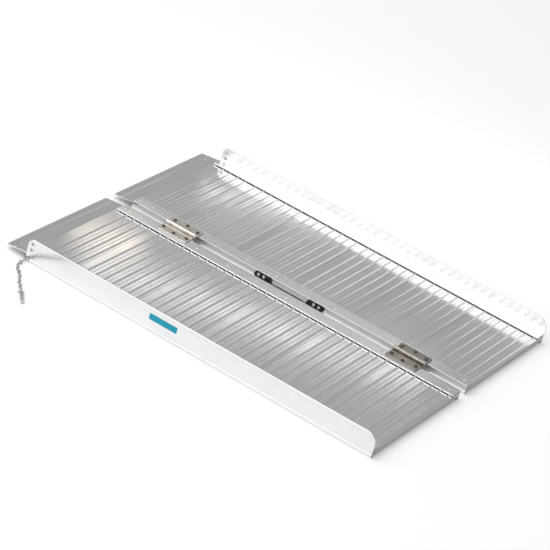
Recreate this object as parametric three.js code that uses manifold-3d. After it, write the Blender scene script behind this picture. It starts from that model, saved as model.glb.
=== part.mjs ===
// A portable two-panel wheelchair ramp that folds like a suitcase: two extruded aluminium
// panels lie side by side, joined along the middle by two butt hinges on top of the deck.
// X runs down the ramp from the lip to the lower end, Y across it from the panel with the
// tether chain to the other, Z up from the floor. Millimetres. Origin: middle of the floor
// rectangle that the ramp covers.
import * as THREE from 'three';
import { mergeVertices } from 'three/addons/utils/BufferGeometryUtils.js';
import Module from 'manifold-3d';

// Overall sizes
const railLength = 874;
const lipOverhang = 52;
const nearPanelWidth = 371;
const seamGap = 27;
const nestClearance = 3; // between the far kerb and the near kerb when folded
const kerbThickness = 3;
const deckHeight = 19; // floor to the tops of the tread ribs
const nearKerbHeight = 35; // above the deck
const farKerbHeight = 38;
const pinFromNearPanel = 13; // hinge pin axis, across the seam from the near panel

// Rail extrusions
const webThickness = 3;
const ledgeWidth = 31;
const flangeWidth = 35; // on the inner rails
const ledgeThickness = 3;
const shelfWidth = 22;
const shelfThickness = 2.2;
const footWidth = 9;
const footThickness = 2.4;
const edgeBevel = 0.8;
const grooveHeight = 7.5;
const grooveDepth = 0.6;
const kerbEndRadius = 24;
const kerbTopChamfer = 9;
const heelRun = 9; // the rail's lower corner at the lip end is cut back
const heelRise = 16;
const shelfSetback = 20; // the shelf and foot start this far from the lip end

// Deck planks
const planksPerPanel = 5;
const plankHeight = 10;
const skinThickness = 2.6;
const ribHeight = 1.5;
const ribBase = 4.8;
const ribTop = 2.2;
const ribPitch = 21.1;
const lastRibSetback = 8;
const plankJoint = 0.5;
const lipPlankEnd = 98; // how far the lip plank runs on past the rails' lip end
const legThickness = 2.4;
const legsPerPlank = 4;

// Lip plank
const lipBendSetback = 6; // the bend line, this far past the rails' lip end
const lipSlopeDegrees = 6;
const lipRibSetback = 20;
const lipCornerRadius = 5;
const lipHoleRadius = 4.7;
const lipHoleFromEdge = 22;
const lipHoleFromTip = 21;

// Hinges
const hingeLength = 77;
const hingeFromRailEnd = 138.5; // middle of each hinge
const leafReach = 38; // pin axis to the leaf's edge
const leafThickness = 2.5;
const knuckleRadius = 5;
const knuckleCount = 5;
const knuckleGap = 0.4;
const pinRadius = 2.1;
const pinHeadRadius = 3.4;
const pinHeadHeight = 1.4;
const pinHeadBevel = 0.7;
const boltPitch = 30.5;
const boltReach = 23; // pin axis to the outer bolts
const boltStagger = 5.5; // the middle bolt is this much further out
const boltShankRadius = 2.3;
const boltHeadRadius = 4.2;
const boltHeadHeight = 1.8;
const boltHeadEdge = 0.5; // upright rim under the dome, and the dome's flat step below its top

// Carrying handle, in the seam on the far panel
const handleSetback = 14.5; // its middle, from the middle of the rails towards the lip
const handleFootLength = 44;
const handleFootHeight = 16;
const handleFootDepth = 4;
const handleFootSlant = 9;
const handleFootDrop = 0.3; // below the top of the far inner rail
const handleFootNose = 10.5; // height of a foot's inner face, where the grip goes in
const gripLength = 92;
const gripHeight = 8;
const gripThickness = 3.4;
const gripBevel = 1;
const gripDrop = 4.6; // the strap hangs this far below the feet
const gripBackGap = 0.3; // behind the grip, to the feet's backs
const handleScrewPitch = 13.4;
const handleScrewInset = 11.5; // outer screw, from the foot's round end
const handleScrewRise = 2; // above the middle of the foot
const handleScrewRadius = 3.3;
const handleScrewHead = 1.2;
const handleScrewBevel = 0.9;
const handleScrewShank = 1.6;

// Eyelets at the lip end of each kerb
const eyeletRadius = 4.4;
const eyeletLip = 0.9;
const eyeletLipBevel = 0.6;
const eyeletShank = 2.9;
const eyeletBore = 1.6;
const eyeletSetback = 10.5;
const eyeletHeights = [11, 25]; // above the deck

// Tether chain with its anchor pin
const tetherHoleRadius = 2.6;
const tetherHoleSetback = 8.6;
const tetherHoleDrop = 8; // below the deck
const eyeLinkRadius = 6;
const chainWire = 1.1; // half the thickness of the eye link's wire
const chainRadius = 4.5;
const splitRingRadius = 6.2;
const splitRingWire = 1.25;
const anchorPinRadius = 4;
const anchorPinLength = 42;
const anchorPinHole = 2.2;
const anchorPinHead = 4.2; // end of the pin to its hole
const anchorPinTab = 4.4; // thickness of the flattened head
const anchorPinBevel = 0.8;

const fitGap = 0.3; // between pieces that touch
const boreGap = 0.3; // round a shank or pin in its hole

// Worked out from the sizes above
const pinFromFarPanel = seamGap - pinFromNearPanel;
const farPanelWidth = nearPanelWidth + pinFromNearPanel - kerbThickness - nestClearance
  - pinFromFarPanel;
const overallLength = railLength + lipOverhang;
const overallWidth = nearPanelWidth + seamGap + farPanelWidth;
const lipEndX = -overallLength / 2 + lipOverhang;
const lowEndX = overallLength / 2;
const nearOuterY = -overallWidth / 2;
const nearInnerY = nearOuterY + nearPanelWidth;
const farInnerY = nearInnerY + seamGap;
const farOuterY = overallWidth / 2;
const pinY = nearInnerY + pinFromNearPanel;
const plankBottom = deckHeight - plankHeight;
const ledgeBottom = deckHeight + fitGap;
const ledgeTop = ledgeBottom + ledgeThickness;
const shelfTop = plankBottom - fitGap;
const leafBottom = ledgeTop + fitGap;
const leafTop = leafBottom + leafThickness;
const pinZ = leafBottom + knuckleRadius;
const plankPitch = (railLength - lipPlankEnd) / planksPerPanel;
const ribsPerPlank = 1 + Math.floor((plankPitch - lastRibSetback - ribBase) / ribPitch);

const wasm = await Module();
wasm.setup();

// A closed three.js geometry as a solid, and back.
function toSolid(geometry) {
  const bare = geometry.clone();
  for (const name of Object.keys(bare.attributes)) {
    if (name !== 'position') bare.deleteAttribute(name);
  }
  const merged = mergeVertices(bare, 1e-4);
  const mesh = new wasm.Mesh({
    numProp: 3,
    vertProperties: new Float32Array(merged.attributes.position.array),
    triVerts: new Uint32Array(merged.index.array),
  });
  return new wasm.Manifold(mesh);
}

function toGeometry(solid) {
  const mesh = solid.getMesh();
  const geometry = new THREE.BufferGeometry();
  geometry.setAttribute('position', new THREE.BufferAttribute(mesh.vertProperties, 3));
  geometry.setIndex(new THREE.BufferAttribute(mesh.triVerts, 1));
  geometry.computeVertexNormals();
  return geometry;
}

function shapeOf(points) {
  return new THREE.Shape(points.map(([a, b]) => new THREE.Vector2(a, b)));
}

// Outlines pushed along one axis, from one place to another.
function alongZ(shape, from, to) {
  const geometry = new THREE.ExtrudeGeometry(shape, { depth: to - from, bevelEnabled: false });
  return geometry.translate(0, 0, from);
}

// The outline is in (y, z).
function alongX(shape, from, to) {
  const turn = new THREE.Matrix4().set(0, 0, 1, 0, 1, 0, 0, 0, 0, 1, 0, 0, 0, 0, 0, 1);
  return alongZ(shape, from, to).applyMatrix4(turn);
}

// The outline is in (x, z).
function alongY(shape, from, to) {
  return alongZ(shape, -to, -from).rotateX(Math.PI / 2);
}

function rod(radius, length, sides = 20) {
  return new THREE.CylinderGeometry(radius, radius, length, sides);
}

function rodZ(radius, x, y, bottom, top, sides = 20) {
  return rod(radius, top - bottom, sides).rotateX(Math.PI / 2).translate(x, y, (bottom + top) / 2);
}

function rodY(radius, x, z, from, to, sides = 20) {
  return rod(radius, to - from, sides).translate(x, (from + to) / 2, z);
}

function rodX(radius, y, z, from, to, sides = 20) {
  return rod(radius, to - from, sides).rotateZ(Math.PI / 2).translate((from + to) / 2, y, z);
}

const paint = {
  plank: { color: 0xb4b6b8, roughness: 0.36, metalness: 1 },
  rail: { color: 0xd3d4d3, roughness: 0.4, metalness: 1 },
  hinge: { color: 0xb8b2a8, roughness: 0.32, metalness: 1 },
  fastener: { color: 0xc6c6c4, roughness: 0.3, metalness: 1 },
  plastic: { color: 0x151617, roughness: 0.55, metalness: 0 },
  chain: { color: 0x8f8d8a, roughness: 0.35, metalness: 1 },
};

const ramp = new THREE.Group();

function addPiece(name, geometry, finish) {
  const mesh = new THREE.Mesh(geometry, new THREE.MeshStandardMaterial(paint[finish]));
  mesh.name = name;
  ramp.add(mesh);
}

// Each panel seen from its own outer edge: "inward" is +1 where the deck lies towards +Y.
const panels = [
  { name: 'near', outerY: nearOuterY, innerY: nearInnerY, inward: 1, kerb: nearKerbHeight },
  { name: 'far', outerY: farOuterY, innerY: farInnerY, inward: -1, kerb: farKerbHeight },
];

// The rail's section, from its outer face at a = 0 towards the deck at a > 0.
function sideRailSection(kerbTop) {
  return [
    [0, 0], [footWidth, 0], [footWidth, footThickness], [webThickness, footThickness],
    [webThickness, shelfTop - shelfThickness], [shelfWidth, shelfTop - shelfThickness],
    [shelfWidth, shelfTop], [webThickness, shelfTop], [webThickness, ledgeBottom],
    [ledgeWidth, ledgeBottom], [ledgeWidth, ledgeTop - edgeBevel],
    [ledgeWidth - edgeBevel, ledgeTop], [kerbThickness, ledgeTop],
    [kerbThickness, kerbTop - edgeBevel], [kerbThickness - edgeBevel, kerbTop],
    [edgeBevel, kerbTop], [0, kerbTop - edgeBevel],
    [0, grooveHeight + grooveDepth], [grooveDepth, grooveHeight], [0, grooveHeight - grooveDepth],
  ];
}

function innerRailSection() {
  return [
    [0, 0], [footWidth, 0], [footWidth, footThickness], [webThickness, footThickness],
    [webThickness, shelfTop - shelfThickness], [shelfWidth, shelfTop - shelfThickness],
    [shelfWidth, shelfTop], [webThickness, shelfTop], [webThickness, ledgeBottom],
    [flangeWidth, ledgeBottom], [flangeWidth, ledgeTop - edgeBevel],
    [flangeWidth - edgeBevel, ledgeTop], [edgeBevel, ledgeTop], [0, ledgeTop - edgeBevel],
  ];
}

// Places a rail section with its outer face at faceY and its deck side towards +Y or -Y.
function placedSection(section, faceY, towards) {
  return shapeOf(section.map(([a, z]) => [faceY + towards * a, z]));
}

// The rail seen from the side: chamfer and cut heel at the lip end, big round at the low end.
function railSideView(top) {
  const chamfer = Math.min(kerbTopChamfer, top / 2);
  const radius = Math.min(kerbEndRadius, top / 2);
  const view = new THREE.Shape();
  view.moveTo(lipEndX + heelRun, 0);
  view.lineTo(lowEndX, 0);
  view.lineTo(lowEndX, top - radius);
  view.absarc(lowEndX - radius, top - radius, radius, 0, Math.PI / 2, false);
  view.lineTo(lipEndX + chamfer, top);
  view.lineTo(lipEndX, top - chamfer);
  view.lineTo(lipEndX, heelRise);
  return view;
}

function setbackCut(faceY, towards) {
  const inside = faceY + towards * (webThickness + 1e-3);
  const end = faceY + towards * (shelfWidth + 1);
  const corners = [[lipEndX - 1, -1], [lipEndX + shelfSetback, -1],
    [lipEndX + shelfSetback, shelfTop + 0.1], [lipEndX - 1, shelfTop + 0.1]];
  return toSolid(alongY(shapeOf(corners), Math.min(inside, end), Math.max(inside, end)));
}

function sideRail(panel) {
  const top = deckHeight + panel.kerb;
  const section = placedSection(sideRailSection(top), panel.outerY, panel.inward);
  let rail = toSolid(alongX(section, lipEndX, lowEndX));
  const [low, high] = [panel.outerY - ledgeWidth - 1, panel.outerY + ledgeWidth + 1];
  rail = rail.intersect(toSolid(alongY(railSideView(top), low, high)));
  rail = rail.subtract(setbackCut(panel.outerY, panel.inward));
  const [outside, inside] = [panel.outerY - kerbThickness - 1, panel.outerY + kerbThickness + 1];
  for (const height of eyeletHeights) {
    const z = deckHeight + height;
    const hole = rodY(eyeletShank + boreGap, lipEndX + eyeletSetback, z, outside, inside);
    rail = rail.subtract(toSolid(hole));
  }
  if (panel.name === 'near') {
    const [x, z] = [lipEndX + tetherHoleSetback, deckHeight - tetherHoleDrop];
    rail = rail.subtract(toSolid(rodY(tetherHoleRadius, x, z, outside, inside)));
  }
  addPiece(`${panel.name}_side_rail`, toGeometry(rail), 'rail');
}

function innerRail(panel) {
  const section = placedSection(innerRailSection(), panel.innerY, -panel.inward);
  let rail = toSolid(alongX(section, lipEndX, lowEndX));
  rail = rail.subtract(setbackCut(panel.innerY, -panel.inward));
  for (const hole of boltPlaces(panel)) {
    const cut = rodZ(boltShankRadius + boreGap, hole.x, hole.y, ledgeBottom - 1, ledgeTop + 1);
    rail = rail.subtract(toSolid(cut));
  }
  if (panel.name === 'far') {
    for (const place of handleScrewPlaces()) {
      const [from, to] = [farInnerY - 1, farInnerY + webThickness + 1];
      const cut = rodY(handleScrewShank + boreGap, place.x, place.z, from, to, 12);
      rail = rail.subtract(toSolid(cut));
    }
  }
  addPiece(`${panel.name}_inner_rail`, toGeometry(rail), 'rail');
}

// Height of the deck skin at x, which dips along the bent lip.
function skinAt(x) {
  const past = Math.max(0, lipEndX - lipBendSetback - x);
  return deckHeight - ribHeight - past * Math.tan(THREE.MathUtils.degToRad(lipSlopeDegrees));
}

// A plank's section in (x, z): a ribbed skin on legs. Both lists run from the lip end down.
function plankSection(start, end, ribs, legs, corner) {
  const top = [[start, skinAt(start)]];
  for (const x of corner === undefined ? ribs : [...ribs, corner].sort((a, b) => a - b)) {
    if (x === corner) {
      top.push([x, skinAt(x)]);
      continue;
    }
    top.push([x - ribBase / 2, skinAt(x - ribBase / 2)]);
    top.push([x - ribTop / 2, skinAt(x) + ribHeight]);
    top.push([x + ribTop / 2, skinAt(x) + ribHeight]);
    top.push([x + ribBase / 2, skinAt(x + ribBase / 2)]);
  }
  top.push([end, skinAt(end)]);
  const under = (x) => [x, skinAt(x) - skinThickness];
  const bottom = legs[0] > start ? [under(start)] : [];
  if (corner !== undefined) bottom.push(under(corner));
  for (const x of legs) {
    if (x > start) bottom.push(under(x));
    bottom.push([x, plankBottom], [x + legThickness, plankBottom]);
    if (x + legThickness < end) bottom.push(under(x + legThickness));
  }
  return shapeOf([...bottom, ...top.reverse()]);
}

function plankSpan(panel) {
  const outer = panel.outerY + panel.inward * (webThickness + fitGap);
  const inner = panel.innerY - panel.inward * (webThickness + fitGap);
  return [Math.min(outer, inner), Math.max(outer, inner)];
}

function deckPlanks(panel) {
  const [from, to] = plankSpan(panel);
  for (let i = 0; i < planksPerPanel; i += 1) {
    const start = lipEndX + lipPlankEnd + i * plankPitch;
    const end = start + plankPitch - (i < planksPerPanel - 1 ? plankJoint : 0);
    const lastRib = start + plankPitch - lastRibSetback;
    const ribs = Array.from({ length: ribsPerPlank }, (_, k) => lastRib - k * ribPitch).reverse();
    const legStep = (end - start - legThickness) / (legsPerPlank - 1);
    const legs = Array.from({ length: legsPerPlank }, (_, k) => start + k * legStep);
    const plank = alongY(plankSection(start, end, ribs, legs), from, to);
    addPiece(`${panel.name}_deck_plank_${i + 1}`, plank, 'plank');
  }
}

function lipPlank(panel) {
  const [from, to] = plankSpan(panel);
  const tip = lipEndX - lipOverhang;
  const end = lipEndX + lipPlankEnd - plankJoint;
  const lastRib = lipEndX + lipPlankEnd - lastRibSetback;
  const ribs = [tip + lipRibSetback];
  for (let x = lastRib; x > lipEndX + ribPitch / 2; x -= ribPitch) ribs.push(x);
  ribs.sort((a, b) => a - b);
  const firstLeg = lipEndX + shelfSetback;
  const legs = [firstLeg, (firstLeg + end - legThickness) / 2, end - legThickness];
  const bend = lipEndX - lipBendSetback;
  let plank = toSolid(alongY(plankSection(tip, end, ribs, legs, bend), from, to));
  const plan = new THREE.Shape();
  const [left, right, r] = [from - 1e-3, to + 1e-3, lipCornerRadius];
  plan.moveTo(end + 1, left);
  plan.lineTo(end + 1, right);
  plan.lineTo(tip + r, right);
  plan.absarc(tip + r, right - r, r, Math.PI / 2, Math.PI, false);
  plan.absarc(tip + r, left + r, r, Math.PI, Math.PI * 1.5, false);
  plank = plank.intersect(toSolid(alongZ(plan, -1, deckHeight + 1)));
  const holeY = panel.outerY + panel.inward * lipHoleFromEdge;
  const hole = rodZ(lipHoleRadius, tip + lipHoleFromTip, holeY, 0, deckHeight + 1, 24);
  addPiece(`${panel.name}_lip_plank`, toGeometry(plank.subtract(toSolid(hole))), 'plank');
}

const hingeMiddles = [lipEndX + hingeFromRailEnd, lowEndX - hingeFromRailEnd];

function boltPlaces(panel) {
  const places = [];
  hingeMiddles.forEach((middle, h) => {
    for (const k of [-1, 0, 1]) {
      const reach = boltReach + (k === 0 ? boltStagger : 0);
      const y = pinY - panel.inward * reach;
      places.push({ hinge: h + 1, bolt: k + 2, x: middle + k * boltPitch, y });
    }
  });
  return places;
}

// One leaf: its plate, and its own knuckles with the strips that join them to the plate.
function hingeLeaf(panel, h, ownKnuckles) {
  const side = -panel.inward;
  const middle = hingeMiddles[h];
  const start = middle - hingeLength / 2;
  const plateY = [pinY + side * (knuckleRadius + knuckleGap), pinY + side * leafReach];
  const plate = (y1, y2, x1, x2) => {
    const [low, high] = [Math.min(y1, y2), Math.max(y1, y2)];
    const outline = shapeOf([[x1, low], [x2, low], [x2, high], [x1, high]]);
    return toSolid(alongZ(outline, leafBottom, leafTop));
  };
  let leaf = plate(plateY[0], plateY[1], start, start + hingeLength);
  const pitch = (hingeLength + knuckleGap) / knuckleCount;
  for (const k of ownKnuckles) {
    const [x1, x2] = [start + k * pitch, start + (k + 1) * pitch - knuckleGap];
    leaf = leaf.add(plate(pinY, plateY[0] + side * 0.5, x1, x2));
    leaf = leaf.add(toSolid(rodX(knuckleRadius, pinY, pinZ, x1, x2, 24)));
  }
  const bore = rodX(pinRadius + boreGap, pinY, pinZ, start - 1, start + hingeLength + 1);
  leaf = leaf.subtract(toSolid(bore));
  for (const place of boltPlaces(panel).filter((p) => p.hinge === h + 1)) {
    const cut = rodZ(boltShankRadius + boreGap, place.x, place.y, leafBottom - 1, leafTop + 1);
    leaf = leaf.subtract(toSolid(cut));
  }
  addPiece(`hinge_${h + 1}_${panel.name}_leaf`, toGeometry(leaf), 'hinge');
}

function hingePin(h) {
  const half = hingeLength / 2 + fitGap;
  const tip = half + pinHeadHeight;
  const [flat, rim] = [pinHeadRadius - pinHeadBevel, tip - pinHeadBevel];
  const profile = [[0, -tip], [flat, -tip], [pinHeadRadius, -rim], [pinHeadRadius, -half],
    [pinRadius, -half], [pinRadius, half], [pinHeadRadius, half], [pinHeadRadius, rim],
    [flat, tip], [0, tip]];
  const turned = new THREE.LatheGeometry(profile.map(([r, z]) => new THREE.Vector2(r, z)), 20);
  turned.rotateZ(-Math.PI / 2).translate(hingeMiddles[h], pinY, pinZ);
  addPiece(`hinge_${h + 1}_pin`, turned, 'fastener');
}

// A domed head on a shank that ends at the underside of the flange.
function hingeBolts(panel) {
  for (const place of boltPlaces(panel)) {
    const [base, top] = [leafTop + fitGap, leafTop + fitGap + boltHeadHeight];
    const profile = [[0, ledgeBottom], [boltShankRadius, ledgeBottom], [boltShankRadius, base],
      [boltHeadRadius, base], [boltHeadRadius, base + boltHeadEdge],
      [boltHeadRadius * Math.cos(Math.PI / 6), top - boltHeadEdge],
      [boltHeadRadius / 2, top], [0, top]];
    const turned = new THREE.LatheGeometry(profile.map(([r, z]) => new THREE.Vector2(r, z)), 16);
    turned.rotateX(Math.PI / 2).translate(place.x, place.y, 0);
    addPiece(`hinge_${place.hinge}_${panel.name}_bolt_${place.bolt}`, turned, 'fastener');
  }
}

const handleMiddle = (lipEndX + lowEndX) / 2 - handleSetback;
const handleFaceY = farInnerY - fitGap; // back of the handle's feet
const handleTop = ledgeTop - handleFootDrop;

// Both feet: "out" is -1 for the foot nearer the lip. Places run from the grip outwards.
const handleFeet = [-1, 1].map((out) => ({
  out,
  grip: handleMiddle + out * (gripLength / 2 + fitGap),
  end: handleMiddle + out * (gripLength / 2 + fitGap + handleFootLength),
}));

function handleScrewPlaces() {
  const z = handleTop - handleFootHeight / 2 + handleScrewRise;
  return handleFeet.flatMap(({ out, end }) => {
    const outer = end - out * handleScrewInset;
    return [outer, outer - out * handleScrewPitch].map((x) => ({ x, z }));
  });
}

// D-shaped foot: round at its outer end, slanting down to the grip at its inner end.
function handleFoot(foot, number) {
  const bottom = handleTop - handleFootHeight;
  const radius = handleFootHeight / 2;
  const view = new THREE.Shape();
  view.moveTo(0, 0);
  view.lineTo(handleFootLength - radius, 0);
  view.absarc(handleFootLength - radius, radius, radius, -Math.PI / 2, Math.PI / 2, false);
  view.lineTo(handleFootSlant, handleFootHeight);
  view.lineTo(0, handleFootNose);
  const [from, to] = [handleFaceY - handleFootDepth, handleFaceY];
  const points = view.getPoints(8).map((p) => [foot.grip + foot.out * p.x, bottom + p.y]);
  const outline = shapeOf(points);
  let body = toSolid(alongY(outline, from, to));
  for (const place of handleScrewPlaces().filter((p) => (p.x - handleMiddle) * foot.out > 0)) {
    const hole = rodY(handleScrewShank + boreGap, place.x, place.z, from - 1, to + 1, 12);
    body = body.subtract(toSolid(hole));
  }
  addPiece(`handle_foot_${number}`, toGeometry(body), 'plastic');
}

function handleGrip() {
  const half = gripLength / 2;
  const bottom = handleTop - handleFootHeight - gripDrop;
  const top = bottom + gripHeight;
  const back = handleFaceY - gripBackGap;
  const front = back - gripThickness;
  const outline = shapeOf([[front + gripBevel, bottom], [back - gripBevel, bottom],
    [back, bottom + gripBevel], [back, top - gripBevel], [back - gripBevel, top],
    [front + gripBevel, top], [front, top - gripBevel], [front, bottom + gripBevel]]);
  addPiece('handle_grip', alongX(outline, handleMiddle - half, handleMiddle + half), 'plastic');
}

function handleScrews() {
  const face = handleFaceY - handleFootDepth - fitGap;
  handleScrewPlaces().forEach((place, i) => {
    const tip = farInnerY + webThickness;
    const top = face - handleScrewHead;
    const profile = [[0, top], [handleScrewRadius - handleScrewBevel, top],
      [handleScrewRadius, top + handleScrewBevel], [handleScrewRadius, face],
      [handleScrewShank, face], [handleScrewShank, tip], [0, tip]];
    const turned = new THREE.LatheGeometry(profile.map(([r, y]) => new THREE.Vector2(r, y)), 12);
    turned.translate(place.x, 0, place.z);
    addPiece(`handle_screw_${i + 1}`, turned, 'fastener');
  });
}

// A hollow rivet through the kerb, with a rolled lip on both faces.
function kerbEyelets(panel) {
  const middle = panel.outerY + panel.inward * kerbThickness / 2;
  const half = kerbThickness / 2 + fitGap;
  const reach = half + eyeletLip;
  const [flat, rim] = [eyeletRadius - eyeletLipBevel, reach - eyeletLipBevel];
  const profile = [[eyeletBore, -reach], [flat, -reach], [eyeletRadius, -rim],
    [eyeletRadius, -half], [eyeletShank, -half], [eyeletShank, half], [eyeletRadius, half],
    [eyeletRadius, rim], [flat, reach], [eyeletBore, reach], [eyeletBore, -reach]];
  eyeletHeights.forEach((height, i) => {
    const turned = new THREE.LatheGeometry(profile.map(([r, y]) => new THREE.Vector2(r, y)), 16);
    turned.translate(lipEndX + eyeletSetback, middle, deckHeight + height);
    addPiece(`${panel.name}_kerb_eyelet_${i + 1}`, turned, 'fastener');
  });
}

// The tether: an eye link through the near rail's heel, a chain laid on the floor, a split
// ring and the anchor pin that drops through a lip hole when the ramp is in use.
const tetherHole = [lipEndX + tetherHoleSetback, deckHeight - tetherHoleDrop];
const heelSlope = new THREE.Vector2(heelRise, heelRun).normalize(); // out of the heel's cut edge
const eyeMiddle = new THREE.Vector3(
  tetherHole[0] - heelSlope.x * eyeLinkRadius,
  nearOuterY + webThickness / 2,
  tetherHole[1] - heelSlope.y * eyeLinkRadius,
);

function eyeLink() {
  const ring = new THREE.TorusGeometry(eyeLinkRadius, chainWire, 8, 20);
  const turn = new THREE.Matrix4().makeBasis(
    new THREE.Vector3(heelSlope.x, 0, heelSlope.y),
    new THREE.Vector3(0, 1, 0),
    new THREE.Vector3(-heelSlope.y, 0, heelSlope.x),
  );
  ring.applyMatrix4(turn).translate(eyeMiddle.x, eyeMiddle.y, eyeMiddle.z);
  addPiece('chain_eye_link', ring, 'chain');
}

// The chain's route, eye link to split ring: out from the rail's heel and along the floor.
const chainRoute = [
  [-407.4, -387.6, 5.0], [-407.4, -396.9, 4.7], [-406.4, -406.2, 4.6], [-403.4, -415.0, 4.6],
  [-398.5, -422.9, 4.6], [-392.1, -429.7, 4.6], [-385.2, -436.0, 4.6], [-378.5, -442.4, 4.6],
  [-372.5, -449.6, 4.6], [-367.3, -457.3, 4.6], [-362.1, -465.0, 4.6], [-356.1, -472.2, 4.6],
  [-349.5, -478.8, 4.6], [-343.0, -485.5, 4.6], [-337.0, -492.6, 4.6],
];
const chainCurve = new THREE.CatmullRomCurve3(chainRoute.map((p) => new THREE.Vector3(...p)));
const chainEnd = chainCurve.getPoint(1);
const chainHeading = chainCurve.getTangent(1).setZ(0).normalize();

function tetherChain() {
  const around = 8;
  const corners = Array.from({ length: around }, (_, k) => {
    const angle = ((k + 0.5) / around) * Math.PI * 2;
    return [chainRadius * Math.cos(angle), chainRadius * Math.sin(angle)];
  });
  const steps = chainRoute.length - 1;
  const tube = new THREE.ExtrudeGeometry(shapeOf(corners), { steps, extrudePath: chainCurve });
  addPiece('tether_chain', tube, 'chain');
}

// The split ring leans from the floor at the chain up to the hole in the anchor pin.
const ringLean = Math.asin((anchorPinRadius - splitRingWire) / (2 * splitRingRadius));
const ringReach = 2 * splitRingRadius * Math.cos(ringLean) + splitRingWire + fitGap;
const pinHole = chainEnd.clone().addScaledVector(chainHeading, ringReach).setZ(anchorPinRadius);

function splitRing() {
  const ring = new THREE.TorusGeometry(splitRingRadius, splitRingWire, 8, 24);
  const along = chainHeading.clone().multiplyScalar(Math.cos(ringLean)).setZ(Math.sin(ringLean));
  const across = new THREE.Vector3(-chainHeading.y, chainHeading.x, 0);
  const normal = along.clone().cross(across);
  const middle = pinHole.clone().addScaledVector(along, -splitRingRadius);
  ring.applyMatrix4(new THREE.Matrix4().makeBasis(along, across, normal));
  addPiece('split_ring', ring.translate(middle.x, middle.y, middle.z), 'chain');
}

// A round pin with a domed tip, its head flattened on both sides round the ring's hole.
function anchorPin() {
  const tip = anchorPinLength - anchorPinHead;
  const profile = [[0, -anchorPinHead], [anchorPinRadius - anchorPinBevel, -anchorPinHead],
    [anchorPinRadius, -anchorPinHead + anchorPinBevel]];
  for (let k = 0; k <= 5; k += 1) {
    const angle = (k / 5) * (Math.PI / 2);
    profile.push([anchorPinRadius * Math.cos(angle),
      tip - anchorPinRadius + anchorPinRadius * Math.sin(angle)]);
  }
  profile[profile.length - 1][0] = 0;
  const turned = new THREE.LatheGeometry(profile.map(([r, y]) => new THREE.Vector2(r, y)), 20);
  let pin = toSolid(turned.rotateZ(-Math.PI / 2));
  for (const side of [-1, 1]) {
    const [a, b] = [side * anchorPinTab / 2, side * (anchorPinRadius + 1)];
    const flat = shapeOf([[-anchorPinHead - 1, a], [anchorPinHead, a], [anchorPinHead, b],
      [-anchorPinHead - 1, b]]);
    pin = pin.subtract(toSolid(alongZ(flat, -anchorPinRadius - 1, anchorPinRadius + 1)));
  }
  pin = pin.subtract(toSolid(rodY(anchorPinHole, 0, 0, -anchorPinRadius, anchorPinRadius, 16)));
  const geometry = toGeometry(pin);
  geometry.rotateZ(Math.atan2(chainHeading.y, chainHeading.x));
  addPiece('anchor_pin', geometry.translate(pinHole.x, pinHole.y, pinHole.z), 'fastener');
}

ramp.name = 'wheelchair_ramp';
for (const panel of panels) {
  sideRail(panel);
  innerRail(panel);
  lipPlank(panel);
  deckPlanks(panel);
  hingeMiddles.forEach((_, h) => hingeLeaf(panel, h, panel.name === 'near' ? [0, 2, 4] : [1, 3]));
  hingeBolts(panel);
  kerbEyelets(panel);
}
hingeMiddles.forEach((_, h) => hingePin(h));
handleFeet.forEach((foot, i) => handleFoot(foot, i + 1));
handleGrip();
handleScrews();
eyeLink();
tetherChain();
splitRing();
anchorPin();

export default ramp;
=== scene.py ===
# Looks of the portable wheelchair ramp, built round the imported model.
# Lengths in the value dictionaries are millimetres, unless a note says otherwise.
import math

import bmesh
import bpy
import numpy as np
from mathutils import Matrix, Vector


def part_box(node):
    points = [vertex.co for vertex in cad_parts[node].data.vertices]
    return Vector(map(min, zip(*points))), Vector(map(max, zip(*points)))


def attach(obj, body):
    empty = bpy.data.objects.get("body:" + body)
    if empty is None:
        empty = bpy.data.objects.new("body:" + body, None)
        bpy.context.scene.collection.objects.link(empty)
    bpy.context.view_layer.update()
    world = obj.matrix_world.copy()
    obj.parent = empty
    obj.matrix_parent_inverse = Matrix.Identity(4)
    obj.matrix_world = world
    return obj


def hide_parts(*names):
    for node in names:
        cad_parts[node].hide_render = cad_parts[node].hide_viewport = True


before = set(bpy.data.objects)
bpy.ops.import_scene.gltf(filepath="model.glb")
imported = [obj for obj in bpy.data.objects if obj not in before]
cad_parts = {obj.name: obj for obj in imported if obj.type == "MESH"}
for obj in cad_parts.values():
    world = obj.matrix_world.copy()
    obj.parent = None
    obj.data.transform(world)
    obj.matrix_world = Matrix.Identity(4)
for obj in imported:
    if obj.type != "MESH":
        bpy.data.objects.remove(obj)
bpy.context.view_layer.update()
mm = 0.001
tiny = 1e-12  # keeps a division by a length from failing
mergeDistance = 2e-6  # metres; points closer than this are one point
print("frame loaded:", len(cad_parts), "nodes")


def corners(node):
    low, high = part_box(node)
    return np.array(low), np.array(high)


def middleOf(node):
    low, high = corners(node)
    return (low + high) / 2


def addObject(name, data):
    thing = bpy.data.objects.new(name, data)
    bpy.context.scene.collection.objects.link(thing)
    return thing


# camera: stands off from the point it looks at, turned by heading, tilted down, then rolled;
# metres and degrees, the lens and sensor in millimetres
cameraValues = dict(aimX=-0.0568, aimY=0.0722, aimZ=0.0, distance=6.222, heading=24.30,
                    downTilt=27.69, roll=17.16, lens=187.6, sensor=36.0)


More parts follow.
